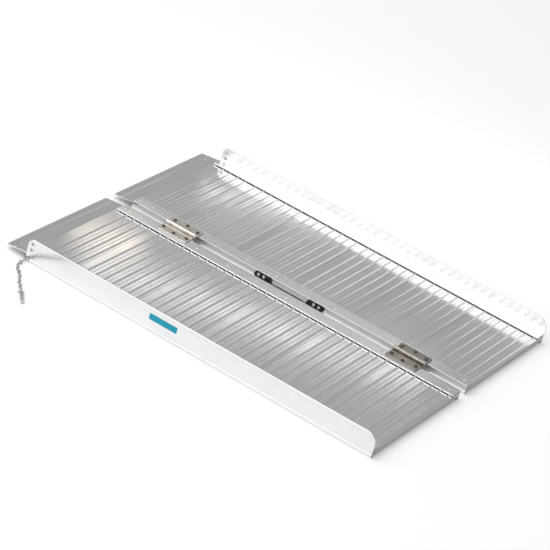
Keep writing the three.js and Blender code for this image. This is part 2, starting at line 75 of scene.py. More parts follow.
def addCamera(values):
    heading, tilt, roll = (math.radians(values[k]) for k in ("heading", "downTilt", "roll"))
    forward = Vector((-math.sin(heading) * math.cos(tilt), math.cos(heading) * math.cos(tilt),
                      -math.sin(tilt)))
    level = Vector((math.cos(heading), math.sin(heading), 0))
    upright = level.cross(forward)
    right = level * math.cos(roll) + upright * math.sin(roll)
    up = upright * math.cos(roll) - level * math.sin(roll)
    data = bpy.data.cameras.new("studioCamera")
    data.lens, data.sensor_width = values["lens"], values["sensor"]
    data.clip_start, data.clip_end = 0.1, 60
    camera = addObject("studioCamera", data)
    aim = Vector((values["aimX"], values["aimY"], values["aimZ"]))
    place = aim - forward * values["distance"]
    camera.matrix_world = Matrix([[right[i], up[i], -forward[i], place[i]] for i in range(3)]
                                 + [[0, 0, 0, 1]])
    bpy.context.scene.camera = camera


addCamera(cameraValues)
print("camera placed")


def gridFaces(rows, columns):
    # quads between each row of points and the next, the last column joined to the first
    r = np.arange(rows - 1)[:, None]
    c = np.arange(columns)[None, :]
    n = (c + 1) % columns
    return np.stack([r * columns + c, r * columns + n, (r + 1) * columns + n,
                     (r + 1) * columns + c], -1).reshape(-1, 4)


def capped(points):
    # rings of points joined one to the next, with a face over the first and the last
    rows, columns = points.shape[:2]
    ring = np.arange(columns)
    faces = gridFaces(rows, columns).tolist()
    faces += [ring[::-1].tolist(), (ring + (rows - 1) * columns).tolist()]
    return points.reshape(-1, 3), faces


def closedRound(points):
    # rings joined one to the next and the last back to the first, as on a torus
    rows, columns = points.shape[:2]
    faces = gridFaces(rows + 1, columns) % (rows * columns)
    return points.reshape(-1, 3), faces.tolist()


def joined(parts):
    points, faces, start = [], [], 0
    for partPoints, partFaces in parts:
        points.append(partPoints)
        faces += [[i + start for i in face] for face in partFaces]
        start += len(partPoints)
    return np.concatenate(points), faces


def softened(outline, radius, steps=3):
    # each corner C becomes (1-t)^2 A + 2t(1-t) C + t^2 B, with A and B radius away along its edges
    outline = np.asarray(outline, float)
    back, on = np.roll(outline, 1, 0) - outline, np.roll(outline, -1, 0) - outline
    backLength, onLength = np.linalg.norm(back, axis=1), np.linalg.norm(on, axis=1)
    radius, most = np.broadcast_to(radius, len(outline)), 0.48  # under half of the shorter edge
    a = outline + back * np.minimum(radius / backLength, most)[:, None]
    b = outline + on * np.minimum(radius / onLength, most)[:, None]
    t = np.linspace(0, 1, steps + 1)[None, :, None]
    curve = (1 - t) ** 2 * a[:, None] + 2 * t * (1 - t) * outline[:, None] + t ** 2 * b[:, None]
    return curve.reshape(-1, 2)


def inset(outline, amount):
    # the outline moved inwards by amount along the mean of its two edge normals
    on = np.roll(outline, -1, 0) - outline
    on /= np.maximum(np.linalg.norm(on, axis=1), tiny)[:, None]
    normal = np.stack([-on[:, 1], on[:, 0]], -1)
    mean = normal + np.roll(normal, 1, 0)
    mean /= np.maximum(np.linalg.norm(mean, axis=1), tiny)[:, None]
    area = np.sum(outline[:, 0] * np.roll(outline[:, 1], -1)
                  - np.roll(outline[:, 0], -1) * outline[:, 1])
    return outline + mean * amount * np.sign(area)


def slab(outline, bottom, top, edge, steps=4):
    # an outline raised from bottom to top, its rims rounded: inset = edge (1 - cos a),
    # rise = edge sin a
    a = np.linspace(np.pi / 2, 0, steps)
    shrink = np.concatenate([edge * (1 - np.cos(a)), edge * (1 - np.cos(a[::-1]))])
    height = np.concatenate([bottom + edge * (1 - np.sin(a)), top - edge * (1 - np.sin(a[::-1]))])
    rings = [np.column_stack([inset(outline, s), np.full(len(outline), h)])
             for s, h in zip(shrink, height)]
    return np.stack(rings)


def turned(profile, around=32, radiusOf=None):
    # (radius, height) pairs carried round the Z axis: x = r cos a, y = r sin a
    profile = np.asarray(profile, float)
    a = np.linspace(0, 2 * np.pi, around, endpoint=False)[None, :]
    r = np.repeat(profile[:, :1], around, 1)
    if radiusOf is not None:
        r = radiusOf(r, a)
    z = np.repeat(profile[:, 1:], around, 1)
    return np.stack([r * np.cos(a), r * np.sin(a), z], -1)


def swapped(points, order):
    # the same shape lying along another axis; order "yzx" sends x to y, y to z and z to x
    out = np.empty_like(points)
    for i, axis in enumerate(order):
        out[..., "xyz".index(axis)] = points[..., i]
    return out


def repeatedFaces(faces, count, size):
    # the same faces for each copy of a part that has size points
    return [[i + n * size for i in face] for n in range(count) for face in faces]


def copies(part, places):
    # one part repeated at each place
    points, faces = part
    places = np.asarray(places, float)
    moved = (points[None] + places[:, None]).reshape(-1, 3)
    return moved, repeatedFaces(faces, len(places), len(points))


def meshOf(name, part):
    # doubles merged, slivers dissolved, faces turned outwards
    points, faces = part
    mesh = bpy.data.meshes.new(name)
    mesh.from_pydata(points.tolist(), [], faces)
    shell = bmesh.new()
    shell.from_mesh(mesh)
    bmesh.ops.remove_doubles(shell, verts=shell.verts, dist=mergeDistance)
    bmesh.ops.dissolve_degenerate(shell, edges=shell.edges, dist=mergeDistance / 2)
    bmesh.ops.recalc_face_normals(shell, faces=shell.faces)
    shell.to_mesh(mesh)
    shell.free()
    return mesh


def addPiece(name, part, finish, body, stands=(), sharp=32, holes=()):
    # sharp: the angle in degrees past which an edge isn't shaded smooth
    mesh = meshOf(name, part)
    piece = addObject(name, mesh)
    if holes:
        mesh = cutAway(piece, holes)
    mesh.materials.clear()
    mesh.materials.append(finish)
    mesh.polygons.foreach_set("use_smooth", np.ones(len(mesh.polygons), bool))
    mesh.set_sharp_from_angle(angle=math.radians(sharp))
    even = piece.modifiers.new("evenNormals", "WEIGHTED_NORMAL")  # big faces keep their own normal
    even.keep_sharp, even.weight = True, 50
    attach(piece, body)
    if stands:
        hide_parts(*stands)
    return piece


def cutAway(piece, cutters):
    # takes each cutter's solid out of the piece and keeps the finished mesh
    helpers = [addObject("cutter", meshOf("cutter", part)) for part in cutters]
    for i, helper in enumerate(helpers):
        cut = piece.modifiers.new(f"cut{i}", "BOOLEAN")
        cut.operation, cut.solver, cut.object = "DIFFERENCE", "EXACT", helper
    seen = piece.evaluated_get(bpy.context.evaluated_depsgraph_get())
    mesh = bpy.data.meshes.new_from_object(seen)
    piece.modifiers.clear()
    piece.data = mesh
    for helper in helpers:
        bpy.data.meshes.remove(helper.data)
    return mesh


def drillPart(radius, x, y1, y2, z):
    # a plain round rod across the ramp, from y1 to y2
    rings = turned([(radius, 0), (radius, y2 - y1)])
    return capped(swapped(rings, "zxy") + np.array([x, y1, z]))


def addNode(tree, kind, inputs=None, **settings):
    node = tree.nodes.new(kind)
    for key, value in settings.items():
        setattr(node, key, value)
    for key, value in (inputs or {}).items():
        if isinstance(value, bpy.types.NodeSocket):
            tree.links.new(value, node.inputs[key])
        else:
            node.inputs[key].default_value = value
    return node


def newGroup(name, inputs, outputs):
    tree = bpy.data.node_groups.new(name, "ShaderNodeTree")
    for label, kind, value in inputs:
        socket = tree.interface.new_socket(label, in_out="INPUT", socket_type=kind)
        if value is not None:
            socket.default_value = value
    for label, kind in outputs:
        tree.interface.new_socket(label, in_out="OUTPUT", socket_type=kind)
    return tree, tree.nodes.new("NodeGroupInput").outputs, tree.nodes.new("NodeGroupOutput").inputs


def spread(tree, value, low, high, toLow=0.0, toHigh=1.0):
    node = addNode(tree, "ShaderNodeMapRange", {0: value, 1: low, 2: high, 3: toLow, 4: toHigh})
    return node.outputs[0]


def combine(tree, operation, *values):
    return addNode(tree, "ShaderNodeMath", dict(enumerate(values)), operation=operation).outputs[0]


def noise(tree, place, scale=1.0, detail=2.0, **others):
    inputs = {"Vector": place, "Scale": scale, "Detail": detail}
    inputs.update({key.capitalize(): value for key, value in others.items()})
    return addNode(tree, "ShaderNodeTexNoise", inputs).outputs[0]


def scaledPlace(tree, place, scale):
    return addNode(tree, "ShaderNodeVectorMath", {0: place, 1: scale},
                   operation="MULTIPLY").outputs[0]


def drawLinesGroup():
    # die lines left by extrusion: noise stretched far along one axis, fine and broad, and
    # wide patches of waviness
    tree, source, result = newGroup(
        "drawLines",
        [("Vector", "NodeSocketVector", None), ("Stretch", "NodeSocketVector", (1, 1, 1)),
         ("Wave Stretch", "NodeSocketVector", (1, 1, 1))],
        [("Fine", "NodeSocketFloat"), ("Broad", "NodeSocketFloat"),
         ("Patches", "NodeSocketFloat")])
    broader = 0.13
    stretched = scaledPlace(tree, source["Vector"], source["Stretch"])
    coarser = scaledPlace(tree, stretched, (broader, broader, broader))
    widest = scaledPlace(tree, source["Vector"], source["Wave Stretch"])
    tree.links.new(noise(tree, stretched, detail=3.0), result["Fine"])
    tree.links.new(noise(tree, coarser), result["Broad"])
    tree.links.new(noise(tree, widest, detail=1.0), result["Patches"])
    return tree


def handlingGroup():
    # smudges from hands and short scratches: broad noise, and stretched noise cut off high up
    tree, source, result = newGroup(
        "handling",
        [("Vector", "NodeSocketVector", None), ("Smudge Scale", "NodeSocketFloat", 12.0)],
        [("Smudges", "NodeSocketFloat"), ("Scratches", "NodeSocketFloat")])
    cloud = noise(tree, source["Vector"], source["Smudge Scale"], 4.0, distortion=0.7)
    smudges = spread(tree, cloud, 0.42, 0.72)
    tree.links.new(smudges, result["Smudges"])
    marks = []
    for angle, size in ((0.5, (60, 900, 60)), (2.2, (48, 760, 48))):  # two ways across
        placed = addNode(tree, "ShaderNodeMapping", {
            "Vector": source["Vector"], "Rotation": (0, 0, angle), "Scale": size}).outputs[0]
        marks.append(spread(tree, noise(tree, placed, detail=1.0), 0.71, 0.76))
    both = combine(tree, "MAXIMUM", *marks)
    tree.links.new(combine(tree, "MULTIPLY", both, smudges), result["Scratches"])
    return tree


def paintedEndShadeGroup():
    # painted shade on the faces turned along x, the rails' ends and the planks' sides: the size of
    # the normal's x
    tree, _, result = newGroup("paintedEndShade", [], [("Painted End Shade", "NodeSocketFloat")])
    normal = addNode(tree, "ShaderNodeNewGeometry").outputs["Normal"]
    along = addNode(tree, "ShaderNodeSeparateXYZ", {0: normal}).outputs["X"]
    either = combine(tree, "ABSOLUTE", along)
    tree.links.new(spread(tree, either, 0.88, 0.97), result["Painted End Shade"])
    return tree


def dustGroup():
    # dust that settles on upward faces: the normal's z times soft noise
    tree, source, result = newGroup(
        "dust", [("Vector", "NodeSocketVector", None), ("Amount", "NodeSocketFloat", 0.3)],
        [("Dust", "NodeSocketFloat")])
    normal = addNode(tree, "ShaderNodeNewGeometry").outputs["Normal"]
    up = addNode(tree, "ShaderNodeSeparateXYZ", {0: normal}).outputs["Z"]
    facing = spread(tree, up, 0.2, 0.95)
    patchy = spread(tree, noise(tree, source["Vector"], 26.0, 5.0, roughness=0.65), 0.35, 0.75)
    settled = combine(tree, "MULTIPLY", facing, patchy)
    tree.links.new(combine(tree, "MULTIPLY", settled, source["Amount"]), result["Dust"])
    return tree


drawLines, handling, paintedEndShade, dust = drawLinesGroup(), handlingGroup(), paintedEndShadeGroup(), dustGroup()


def startMaterial(name):
    material = bpy.data.materials.new(name)
    material.use_nodes = True
    tree = material.node_tree
    tree.nodes.clear()
    surface = addNode(tree, "ShaderNodeBsdfPrincipled")
    end = addNode(tree, "ShaderNodeOutputMaterial")
    tree.links.new(surface.outputs[0], end.inputs[0])
    place = addNode(tree, "ShaderNodeTexCoord").outputs["Object"]
    return material, tree, surface, place


def placeGroup(tree, group, **inputs):
    node = addNode(tree, "ShaderNodeGroup", node_tree=group)
    for key, value in inputs.items():
        socket = node.inputs[key.replace("_", " ")]
        if isinstance(value, bpy.types.NodeSocket):
            tree.links.new(value, socket)
        else:
            socket.default_value = value
    return node.outputs


def mixColor(tree, share, first, second):
    node = addNode(tree, "ShaderNodeMix", data_type="RGBA")
    for i, value in ((0, share), (6, first), (7, second)):
        if isinstance(value, bpy.types.NodeSocket):
            tree.links.new(value, node.inputs[i])
        else:
            node.inputs[i].default_value = value
    return node.outputs[2]


def bumped(tree, height, depth, strength=1.0, after=None):
    inputs = {"Height": height, "Distance": depth, "Strength": strength}
    if after is not None:
        inputs["Normal"] = after
    return addNode(tree, "ShaderNodeBump", inputs).outputs[0]


noiseLow, noiseHigh = 0.3, 0.7  # most of a noise lies between these


def aluminium(name, values):
    # mill-finish extrusion: draw lines tint it, roughen it and tilt it; smudges dull it in places;
    # faces turned along x are darkened as painted shade and made rougher
    material, tree, surface, place = startMaterial(name)
    lines = placeGroup(tree, drawLines, Vector=place, Stretch=values["stretch"],
                       Wave_Stretch=values["waveStretch"])
    marks = placeGroup(tree, handling, Vector=place, Smudge_Scale=values["smudgeScale"])
    film = placeGroup(tree, dust, Vector=place, Amount=values["dust"])["Dust"]
    # cut: the painted shade mask on the faces turned along x
    cut = placeGroup(tree, paintedEndShade)["Painted End Shade"]
    streaked = mixColor(tree, spread(tree, lines["Broad"], noiseLow, noiseHigh), values["dark"],
                        values["light"])
    smudged = mixColor(tree, spread(tree, marks["Smudges"], 0, 1, 0, values["smudge"]), streaked,
                       values["dull"])
    # painted shade: faces turned along x take the darker end colour
    withPaintedEndShade = mixColor(tree, cut, smudged, values["paintedEndShadeColor"])
    tree.links.new(mixColor(tree, film, withPaintedEndShade, values["dustColor"]), surface.inputs["Base Color"])
    # roughness: the fine lines' value, then a share of each effect added to it
    rough = spread(tree, lines["Fine"], noiseLow, noiseHigh, *values["roughness"])
    patches = spread(tree, lines["Patches"], 0.4, 0.75)
    for mask, share in ((patches, values["uneven"]), (marks["Smudges"], values["smudgeRough"]),
                        (cut, values["endFacingRough"]), (marks["Scratches"], values["scratchRough"])):
        rough = combine(tree, "MULTIPLY_ADD", mask, share, rough)
    tree.links.new(rough, surface.inputs["Roughness"])
    metalUnderDust = 0.3
    tree.links.new(spread(tree, film, 0, 1, 1, metalUnderDust), surface.inputs["Metallic"])
    normal = None
    for height, depth in ((lines["Patches"], values["wave"]),
                          (lines["Broad"], values["broadDepth"]),
                          (lines["Fine"], values["fineDepth"]),
                          (marks["Scratches"], -values["scratchDepth"])):
        normal = bumped(tree, height, depth * mm, after=normal)
    tree.links.new(normal, surface.inputs["Normal"])
    return material


# the end colour is painted shade on faces turned along x
# stretches are in noise cells per metre along x, y and z
deckAluminium = aluminium("deckAluminium", dict(
    stretch=(1500, 9, 1500), waveStretch=(45, 3, 45), dark=(0.73, 0.735, 0.745, 1),
    light=(0.80, 0.80, 0.81, 1), dull=(0.68, 0.68, 0.685, 1), dustColor=(0.55, 0.54, 0.52, 1),
    paintedEndShadeColor=(0.36, 0.36, 0.365, 1), roughness=(0.09, 0.14), uneven=0.04, endFacingRough=0.2,
    scratchRough=0.12, smudgeScale=11.0, smudge=0.2, smudgeRough=0.02, dust=0.04,
    wave=0.02, broadDepth=0.003, fineDepth=0.002, scratchDepth=0.003))
railAluminium = aluminium("railAluminium", dict(
    stretch=(7, 1700, 1700), waveStretch=(4, 30, 30), dark=(0.78, 0.785, 0.79, 1),
    light=(0.85, 0.85, 0.85, 1), dull=(0.73, 0.73, 0.735, 1), dustColor=(0.58, 0.57, 0.55, 1),
    paintedEndShadeColor=(0.42, 0.42, 0.42, 1), roughness=(0.13, 0.21), uneven=0.03, endFacingRough=0.2,
    scratchRough=0.12, smudgeScale=8.0, smudge=0.25, smudgeRough=0.04, dust=0.04,
    wave=0.03, broadDepth=0.003, fineDepth=0.0015, scratchDepth=0.004))


def steel(name, values):
    # plated steel: a little uneven in tone and gloss, with rolled grain and fine scratches
    scratchRough, scratchDepth = 0.15, 0.01
    material, tree, surface, place = startMaterial(name)
    marks = placeGroup(tree, handling, Vector=place, Smudge_Scale=values["smudgeScale"])
    lines = placeGroup(tree, drawLines, Vector=place, Stretch=values["stretch"])
    film = placeGroup(tree, dust, Vector=place, Amount=values["dust"])["Dust"]
    toned = mixColor(tree, marks["Smudges"], values["color"], values["tarnish"])
    tree.links.new(mixColor(tree, film, toned, values["dustColor"]), surface.inputs["Base Color"])
    surface.inputs["Metallic"].default_value = 1.0
    rough = spread(tree, lines["Fine"], noiseLow, noiseHigh, *values["roughness"])
    tree.links.new(combine(tree, "MULTIPLY_ADD", marks["Scratches"], scratchRough, rough),
                   surface.inputs["Roughness"])
    grain = bumped(tree, lines["Fine"], values["grainDepth"] * mm)
    tree.links.new(bumped(tree, marks["Scratches"], -scratchDepth * mm, after=grain),
                   surface.inputs["Normal"])
    return material


hingeFinish = dict(dust=0.03, stretch=(60, 2400, 60), grainDepth=0.002)
# one steel in two tones: hinge 1 lighter as a painted highlight, hinge 2 darker as painted shade
hingeSteels = {
    1: steel("hingeSteelPaintedHighlight", dict(
        hingeFinish, color=(0.72, 0.69, 0.64, 1), tarnish=(0.58, 0.54, 0.49, 1),
        dustColor=(0.5, 0.48, 0.45, 1), roughness=(0.16, 0.24), smudgeScale=30.0)),
    2: steel("hingeSteelPaintedShade", dict(
        hingeFinish, color=(0.36, 0.33, 0.30, 1), tarnish=(0.24, 0.22, 0.20, 1),
        dustColor=(0.4, 0.38, 0.36, 1), roughness=(0.14, 0.22), smudgeScale=46.0)),
}
# near black: painted shade of the dark screw holes on the hinge leaves
boltSteelPaintedShade = steel("boltSteelPaintedShade", dict(
    color=(0.085, 0.08, 0.075, 1), tarnish=(0.14, 0.13, 0.12, 1), dustColor=(0.2, 0.19, 0.18, 1),
    roughness=(0.24, 0.36), smudgeScale=90.0, dust=0.03, stretch=(900, 900, 900), grainDepth=0.004))
fastenerSteel = steel("fastenerSteel", dict(
    color=(0.80, 0.79, 0.77, 1), tarnish=(0.60, 0.59, 0.57, 1), dustColor=(0.5, 0.49, 0.47, 1),
    roughness=(0.22, 0.34), smudgeScale=70.0, dust=0.04, stretch=(900, 900, 900), grainDepth=0.004))
pinSteel = steel("pinSteel", dict(
    color=(0.62, 0.61, 0.60, 1), tarnish=(0.40, 0.39, 0.38, 1), dustColor=(0.5, 0.49, 0.47, 1),
    roughness=(0.24, 0.4), smudgeScale=60.0, dust=0.04, stretch=(1500, 400, 1500),
    grainDepth=0.006))
chainSteel = steel("chainSteel", dict(
    color=(0.52, 0.51, 0.50, 1), tarnish=(0.28, 0.27, 0.26, 1), dustColor=(0.4, 0.39, 0.37, 1),
    roughness=(0.24, 0.4), smudgeScale=120.0, dust=0.05, stretch=(700, 700, 700), grainDepth=0.01))


def plastic(name, values):
    # moulded or rolled plastic: a fine grain, with paler rubbed patches
    material, tree, surface, place = startMaterial(name)
    surface.inputs["Specular IOR Level"].default_value = values["shine"]
    marks = placeGroup(tree, handling, Vector=place, Smudge_Scale=values["smudgeScale"])
    film = placeGroup(tree, dust, Vector=place, Amount=values["dust"])["Dust"]
    worn = mixColor(tree, spread(tree, marks["Smudges"], 0, 1, 0, 0.6), values["color"],
                    values["worn"])
    tree.links.new(mixColor(tree, film, worn, values["dustColor"]), surface.inputs["Base Color"])
    grain = noise(tree, place, values["grainScale"])
    tree.links.new(spread(tree, grain, noiseLow, noiseHigh, *values["roughness"]),
                   surface.inputs["Roughness"])
    tree.links.new(bumped(tree, grain, values["grainDepth"] * mm), surface.inputs["Normal"])
    return material


blackNylon = plastic("blackNylon", dict(
    color=(0.008, 0.008, 0.009, 1), worn=(0.016, 0.016, 0.017, 1), dustColor=(0.2, 0.19, 0.18, 1),
    roughness=(0.3, 0.42), shine=0.3, smudgeScale=60.0, dust=0.02, grainScale=1800.0,
    grainDepth=0.03))
whiteVinyl = plastic("whiteVinyl", dict(
    color=(0.76, 0.76, 0.755, 1), worn=(0.72, 0.72, 0.715, 1), dustColor=(0.6, 0.59, 0.57, 1),
    roughness=(0.32, 0.45), shine=0.5, smudgeScale=40.0, dust=0.03, grainScale=900.0,
    grainDepth=0.006))
blueVinyl = plastic("blueVinyl", dict(
    color=(0.003, 0.26, 0.38, 1), worn=(0.008, 0.30, 0.42, 1), dustColor=(0.4, 0.5, 0.55, 1),
    roughness=(0.32, 0.45), shine=0.3, smudgeScale=40.0, dust=0.03, grainScale=900.0,
    grainDepth=0.006))
print("materials made")


# the tether: eye link, chain, split ring and anchor pin on the floor
tetherValues = dict(length=0.1305, diameter=0.009, wire=1.9, linkWidth=8.6, pitch=9.3, roll=50,
                    lower=0.9, ringRadius=6.2, ringRise=2.5, ringWire=1.1, ringFlat=0.86,
                    ringTurns=2.0, eyeWire=2.2)  # length and diameter in metres, roll in degrees
chainRoute = np.array([
    (-407.4, -387.6, 5.0), (-407.4, -396.9, 4.7), (-406.4, -406.2, 4.6), (-403.4, -415.0, 4.6),
    (-398.5, -422.9, 4.6), (-392.1, -429.7, 4.6), (-385.2, -436.0, 4.6), (-378.5, -442.4, 4.6),
    (-372.5, -449.6, 4.6), (-367.3, -457.3, 4.6), (-362.1, -465.0, 4.6), (-356.1, -472.2, 4.6),
    (-349.5, -478.8, 4.6), (-343.0, -485.5, 4.6), (-337.0, -492.6, 4.6)]) * mm


def smoothPath(points, count):
    # Catmull-Rom: half of 2B + (C - A)t + (2A - 5B + 4C - D)t^2 + (3B - A - 3C + D)t^3, then
    # spaced evenly by length
    ends = np.concatenate([[2 * points[0] - points[1]], points, [2 * points[-1] - points[-2]]])
    a, b, c, d = ends[:-3, None], ends[1:-2, None], ends[2:-1, None], ends[3:, None]
    t = np.linspace(0, 1, 17)[None, :-1, None]
    curve = 0.5 * (2 * b + (c - a) * t + (2 * a - 5 * b + 4 * c - d) * t ** 2
                   + (3 * b - a - 3 * c + d) * t ** 3)
    curve = np.concatenate([curve.reshape(-1, 3), points[-1:]])
    far = np.concatenate([[0], np.cumsum(np.linalg.norm(np.diff(curve, axis=0), axis=1))])
    even = np.linspace(0, far[-1], count)
    return np.stack([np.interp(even, far, curve[:, i]) for i in range(3)], -1)


def loopHeading(path):
    # direction along a closed path: from the point before to the point after
    heading = np.roll(path, -1, 0) - np.roll(path, 1, 0)
    return heading / np.linalg.norm(heading, axis=1)[:, None]


def pathFrames(path):
    # heading, side and upward direction at each point of an open path
    heading = np.gradient(path, axis=0)
    heading /= np.linalg.norm(heading, axis=1)[:, None]
    side = np.cross(heading, (0, 0, 1.0))
    side /= np.linalg.norm(side, axis=1)[:, None]
    return heading, side, np.cross(side, heading)


def tubeRings(path, across, upward, radius, around=10, flat=1.0):
    # a round section carried along a path: centre + radius (side cos a + upward sin a)
    a = np.linspace(0, 2 * np.pi, around, endpoint=False)[None, :, None]
    return path[:, None] + radius * (across[:, None] * np.cos(a)
                                     + upward[:, None] * np.sin(a) * flat)


def linkPart(values, steps=28):
    # an oval link in its own plane: x = half width cos a, pushed out by reach towards each end,
    # y = half width sin a
    a = np.linspace(0, 2 * np.pi, steps, endpoint=False)
    half = (values["linkWidth"] - values["wire"]) / 2
    reach = (values["pitch"] + values["wire"] - 2 * half) / 2
    push = reach * np.tanh(4 * np.cos(a))  # changes side smoothly at the middle
    path = np.column_stack([half * np.cos(a) + push, half * np.sin(a), 0 * a]) * mm
    across = np.cross(loopHeading(path), (0, 0, 1.0))
    upward = np.tile((0, 0, 1.0), (steps, 1))
    return closedRound(tubeRings(path, across, upward, values["wire"] / 2 * mm, 9))


def addTether(values):
    # links spaced evenly along the route, each rolled the other way from the last
    route = chainRoute - np.array([0, 0, values["lower"] * mm])
    route[0, 2] = chainRoute[0, 2]  # the first point stays at the eye
    path = smoothPath(route, 60)
    links = int(round(values["length"] / (values["pitch"] * mm)))
    share = (np.arange(links) + 0.5) / links * (len(path) - 1)
    index = np.arange(len(path))
    centre = np.stack([np.interp(share, index, path[:, i]) for i in range(3)], -1)
    heading, side, upward = pathFrames(centre)
    roll = np.radians(values["roll"]) * np.where(np.arange(links) % 2, 1, -1)[:, None]
    across = side * np.cos(roll) + upward * np.sin(roll)
    normal = np.cross(heading, across)
    points, faces = linkPart(values)
    placed = (centre[:, None] + points[None, :, :1] * heading[:, None]
              + points[None, :, 1:2] * across[:, None] + points[None, :, 2:] * normal[:, None])
    part = placed.reshape(-1, 3), repeatedFaces(faces, links, len(points))
    chain = addPiece("tetherChain", part, chainSteel, "near_panel",
                     ["tether_chain"], sharp=60)
    return chain, path


def addEyeLink(values):
    # a ring of wire through the rail's heel: the same plane and middle as its node
    low, high = corners("chain_eye_link")
    middle = (low + high) / 2
    tall, wide = high[2] - low[2], high[0] - low[0]
    wire = values["eyeWire"] / 2 * mm
    lean = math.atan2(tall - 2 * wire, wide - 2 * wire)
    radius = math.hypot((tall - 2 * wire) / 2, (wide - 2 * wire) / 2)
    a = np.linspace(0, 2 * np.pi, 48, endpoint=False)[:, None]
    along = np.array([math.cos(lean), 0, math.sin(lean)])
    acrossRing = np.array([0, 1.0, 0])
    path = middle + radius * (along * np.cos(a) + acrossRing * np.sin(a))
    flat = np.tile(np.cross(along, acrossRing), (len(a), 1))
    rings = tubeRings(path, np.cross(loopHeading(path), flat), flat, wire, 12)
    return addPiece("eyeLink", closedRound(rings), chainSteel, "near_panel",
                    ["chain_eye_link"], sharp=60)


def addSplitRing(values, chainHeading):
    # two turns of wire side by side: radius round the ring's axis, rising one wire a turn
    low, high = corners("split_ring")
    middle = (low + high) / 2
    radius = values["ringRadius"] * mm
    lean = math.asin((high[2] - low[2] - values["ringRise"] * mm) / (2 * radius))
    along = np.array([chainHeading[0] * math.cos(lean), chainHeading[1] * math.cos(lean),
                      math.sin(lean)])
    acrossRing = np.array([-chainHeading[1], chainHeading[0], 0])
    axis = np.cross(along, acrossRing)
    turns = values["ringTurns"]
    a = np.linspace(0, 2 * np.pi * turns, 97)[:, None]
    wire = values["ringWire"] / 2 * mm
    climb = (a / (2 * np.pi) - turns / 2) * 2 * wire
    path = middle + radius * (along * np.cos(a) + acrossRing * np.sin(a)) + axis * climb
    heading, _, _ = pathFrames(path)
    upward = np.tile(axis, (len(path), 1))
    rings = tubeRings(path, np.cross(heading, upward), upward, wire, 10, values["ringFlat"])
    return addPiece("splitRing", capped(rings), chainSteel, "near_panel",
                    ["split_ring"], sharp=60)


pinValues = dict(radius=4.0, length=42.0, holeToEnd=4.2, hole=2.2, boreReach=6, tab=4.4,
                 bevel=0.8, shoulder=0.4, groove=0.35, grooveAt=26.0, grooveHalf=0.6)


def addAnchorPin(values, chainHeading):
    # turned along its axis, then its head squeezed flat: side = clamp(side, -tab/2, tab/2)
    r, head = values["radius"], values["holeToEnd"]
    tip = values["length"] - head
    dome = np.linspace(0, np.pi / 2, 9)
    g, at, half = values["groove"], values["grooveAt"], values["grooveHalf"]
    profile = [(0, -head), (r - values["bevel"], -head), (r, -head + values["bevel"]),
               (r, head - 0.01), (r, head + values["shoulder"]), (r, at - half), (r - g, at),
               (r, at + half)]
    profile += [(r * math.cos(d), tip - r + r * math.sin(d)) for d in dome]
    rings = turned(np.array(profile), 40)
    flat = values["tab"] / 2
    isHead = rings[..., 2] < head
    rings[..., 0] = np.where(isHead, np.clip(rings[..., 0], -flat, flat), rings[..., 0])
    # lying down: the pin's axis along the chain's heading, its flats upright, its hole level
    ahead = np.array([chainHeading[0], chainHeading[1], 0.0])
    level = np.array([-chainHeading[1], chainHeading[0], 0.0])
    back = (values["length"] / 2 - head) * mm
    hole = np.array([*(middleOf("anchor_pin") - ahead * back)[:2], r * mm])
    reach = values["boreReach"]
    bore = turned([(values["hole"], -reach), (values["hole"], reach)], 28)
    pin, cutter = [laid(capped(shape), hole, axis, side)
                   for shape, axis, side in ((rings, ahead, level), (bore, level, ahead))]
    return addPiece("anchorPin", pin, pinSteel, "near_panel", ["anchor_pin"],
                    holes=[cutter])


def laid(part, place, axis, side):
    # a part in millimetres laid down: its z goes along axis, its x along side, its y upwards
    points, faces = part
    return place + (points[:, 2:] * axis + points[:, :1] * side
                    + points[:, 1:2] * np.array([0, 0, 1.0])) * mm, faces


tetherChain, chainPath = addTether(tetherValues)
chainHeading = chainPath[-1] - chainPath[-2]
chainHeading[2] = 0
chainHeading /= np.linalg.norm(chainHeading)
eyeLink = addEyeLink(tetherValues)
splitRing = addSplitRing(tetherValues, chainHeading)
anchorPin = addAnchorPin(pinValues, chainHeading)
print("tether laid out")


# rails
nearLow, nearHigh = corners("near_side_rail")
farHigh = corners("far_side_rail")[1]
nearInnerHigh, farInnerLow = corners("near_inner_rail")[1], corners("far_inner_rail")[0]
lipEndX, lowEndX = nearLow[0], nearHigh[0]
ledgeTopZ = nearInnerHigh[2]
panels = {
    "near": dict(body="near_panel", outerY=nearLow[1], innerY=nearInnerHigh[1], toDeck=1,
                 kerbTop=nearHigh[2] / mm),
    "far": dict(body="far_panel", outerY=farHigh[1], innerY=farInnerLow[1], toDeck=-1,
                kerbTop=farHigh[2] / mm),
}
railValues = dict(web=3, kerb=3, foot=9, footThick=2.4, shelf=22, shelfTop=8.7, shelfThick=2.2,
                  ledge=31, flange=35, ledgeThick=3, groove=0.6, grooveAt=7.5, endRadius=24,
                  chamfer=9, heelRun=9, heelRise=16, setback=20, edge=0.7, fillet=1.3,
                  kerbRound=1.45, underRound=0.4, lipRound=0.5, seamRound=1.1, grooveRound=0.15)


